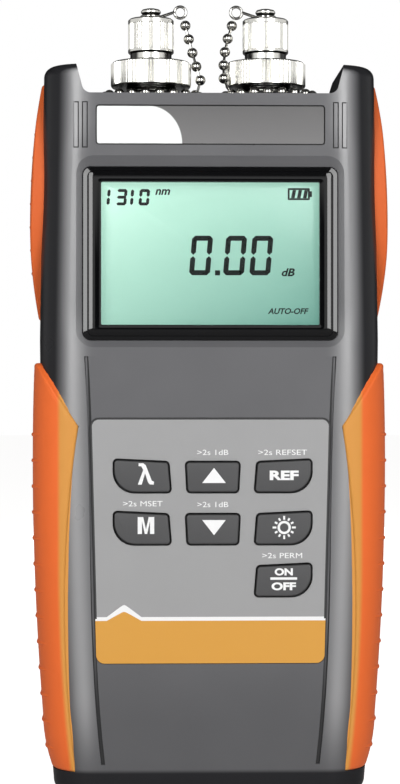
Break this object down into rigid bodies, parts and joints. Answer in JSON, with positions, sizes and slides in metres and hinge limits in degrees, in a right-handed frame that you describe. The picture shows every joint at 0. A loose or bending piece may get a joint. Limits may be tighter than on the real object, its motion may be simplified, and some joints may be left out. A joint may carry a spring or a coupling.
{
  "type": "variable optical attenuator",
  "caption": "Handheld fibre attenuator: moulded case with soft side grips, display window, keypad, and metal fibre ports with chained dust caps.",
  "frame": {"origin": "middle of the bounding box at the bottom end, on which the case stands", "axes": "+Z along the case to the fibre ports, -Y out of the display and keypad, +X to the user's right"},
  "size_m": [0.0826, 0.0344, 0.1808],
  "materials": {
    "case": "fine moulded texture",
    "grip": "soft moulded, satin",
    "window": "clear gloss",
    "display": "satin",
    "display_case": "matt",
    "name_plate": "gloss",
    "panel": "satin",
    "keys": "matt",
    "board": "lacquered",
    "switches": "matt",
    "cells": "wrapped",
    "contacts": "plated",
    "screws": "plated",
    "module": "anodised",
    "spool": "moulded",
    "fibre": "jacketed fibre",
    "plated_metal": "nickel plated, satin",
    "ceramic": "polished",
    "chain_metal": "nickel plated"
  },
  "bodies": {
    "case": {"front_shell": "case", "rear_shell": "case", "grip_upper_left": "grip", "grip_upper_right": "grip", "grip_lower_left": "grip", "grip_lower_right": "grip", "display_window": "window", "display_glass": "display", "display_frame": "display_case", "name_plate": "name_plate", "keypad_panel": "panel", "main_board": "board", "key_switches": "switches", "power_socket": "switches", "cell_1": "cells", "cell_2": "cells", "cell_3": "cells", "cell_contacts": "contacts", "case_screws": "screws", "attenuator_module": "module", "fibre_spool": "spool", "fibre_coil": "fibre", "pigtail_left": "fibre", "pigtail_right": "fibre", "port_base_left": "plated_metal", "port_base_right": "plated_metal", "ferrule_holder_left": "plated_metal", "ferrule_holder_right": "plated_metal", "ferrule_left": "ceramic", "ferrule_right": "ceramic", "chain_lower_left": "chain_metal", "chain_lower_right": "chain_metal", "chain_loop_left": "chain_metal", "chain_loop_right": "chain_metal"},
    "key_wavelength": {"key_wavelength": "keys"},
    "key_up": {"key_up": "keys"},
    "key_reference": {"key_reference": "keys"},
    "key_memory": {"key_memory": "keys"},
    "key_down": {"key_down": "keys"},
    "key_light": {"key_light": "keys"},
    "key_power": {"key_power": "keys"},
    "battery_door": {"battery_door": "case"},
    "adapter_head_left": {"adapter_head_left": "plated_metal", "alignment_sleeve_left": "ceramic", "chain_upper_left": "chain_metal"},
    "knurled_nut_left": {"knurled_nut_left": "plated_metal"},
    "cap_ring_left": {"cap_ring_left": "chain_metal"},
    "dust_cap_left": {"dust_cap_left": "plated_metal"},
    "adapter_head_right": {"adapter_head_right": "plated_metal", "alignment_sleeve_right": "ceramic", "chain_upper_right": "chain_metal"},
    "knurled_nut_right": {"knurled_nut_right": "plated_metal"},
    "cap_ring_right": {"cap_ring_right": "chain_metal"},
    "dust_cap_right": {"dust_cap_right": "plated_metal"}
  },
  "joints": [
    {"name": "key_wavelength_press", "type": "slide", "parent": "case", "child": "key_wavelength", "axis": [0, 1, 0], "range_m": [0, 0.0008], "stiffness_N_per_m": 1200, "springref_m": -0.0004},
    {"name": "key_up_press", "type": "slide", "parent": "case", "child": "key_up", "axis": [0, 1, 0], "range_m": [0, 0.0008], "stiffness_N_per_m": 1200, "springref_m": -0.0004},
    {"name": "key_reference_press", "type": "slide", "parent": "case", "child": "key_reference", "axis": [0, 1, 0], "range_m": [0, 0.0008], "stiffness_N_per_m": 1200, "springref_m": -0.0004},
    {"name": "key_memory_press", "type": "slide", "parent": "case", "child": "key_memory", "axis": [0, 1, 0], "range_m": [0, 0.0008], "stiffness_N_per_m": 1200, "springref_m": -0.0004},
    {"name": "key_down_press", "type": "slide", "parent": "case", "child": "key_down", "axis": [0, 1, 0], "range_m": [0, 0.0008], "stiffness_N_per_m": 1200, "springref_m": -0.0004},
    {"name": "key_light_press", "type": "slide", "parent": "case", "child": "key_light", "axis": [0, 1, 0], "range_m": [0, 0.0008], "stiffness_N_per_m": 1200, "springref_m": -0.0004},
    {"name": "key_power_press", "type": "slide", "parent": "case", "child": "key_power", "axis": [0, 1, 0], "range_m": [0, 0.0008], "stiffness_N_per_m": 1200, "springref_m": -0.0004},
    {"name": "battery_door_tilt", "type": "hinge", "parent": "case", "child": "battery_door", "pos_m": [0, 0.01673, 0.008], "axis": [-1, 0, 0], "range_deg": [0, 45]},
    {"name": "head_lift_left", "type": "slide", "parent": "case", "child": "adapter_head_left", "axis": [0, 0, 1], "range_m": [0, 0.003], "deforming": ["chain_lower_left"]},
    {"name": "nut_turn_left", "type": "hinge", "parent": "adapter_head_left", "child": "knurled_nut_left", "pos_m": [-0.0133, 0.00023, 0.1659], "axis": [0, 0, 1], "range_deg": [0, 1440]},
    {"name": "cap_lift_left", "type": "slide", "parent": "adapter_head_left", "child": "cap_ring_left", "axis": [0, 0, 1], "range_m": [0, 0.003], "deforming": ["chain_upper_left"]},
    {"name": "cap_turn_left", "type": "hinge", "parent": "cap_ring_left", "child": "dust_cap_left", "pos_m": [-0.0133, 0.00023, 0.1734], "axis": [0, 0, 1], "range_deg": [0, 1440]},
    {"name": "head_lift_right", "type": "slide", "parent": "case", "child": "adapter_head_right", "axis": [0, 0, 1], "range_m": [0, 0.003], "deforming": ["chain_lower_right"]},
    {"name": "nut_turn_right", "type": "hinge", "parent": "adapter_head_right", "child": "knurled_nut_right", "pos_m": [0.0133, 0.00023, 0.1659], "axis": [0, 0, 1], "range_deg": [0, 1440]},
    {"name": "cap_lift_right", "type": "slide", "parent": "adapter_head_right", "child": "cap_ring_right", "axis": [0, 0, 1], "range_m": [0, 0.003], "deforming": ["chain_upper_right"]},
    {"name": "cap_turn_right", "type": "hinge", "parent": "cap_ring_right", "child": "dust_cap_right", "pos_m": [0.0133, 0.00023, 0.1734], "axis": [0, 0, 1], "range_deg": [0, 1440]}
  ],
  "couplings": [
    {"joint": "nut_turn_left", "follows": "head_lift_left", "rad_per_m": 8377.6},
    {"joint": "cap_turn_left", "follows": "cap_lift_left", "rad_per_m": 8377.6},
    {"joint": "nut_turn_right", "follows": "head_lift_right", "rad_per_m": 8377.6},
    {"joint": "cap_turn_right", "follows": "cap_lift_right", "rad_per_m": 8377.6}
  ]
}
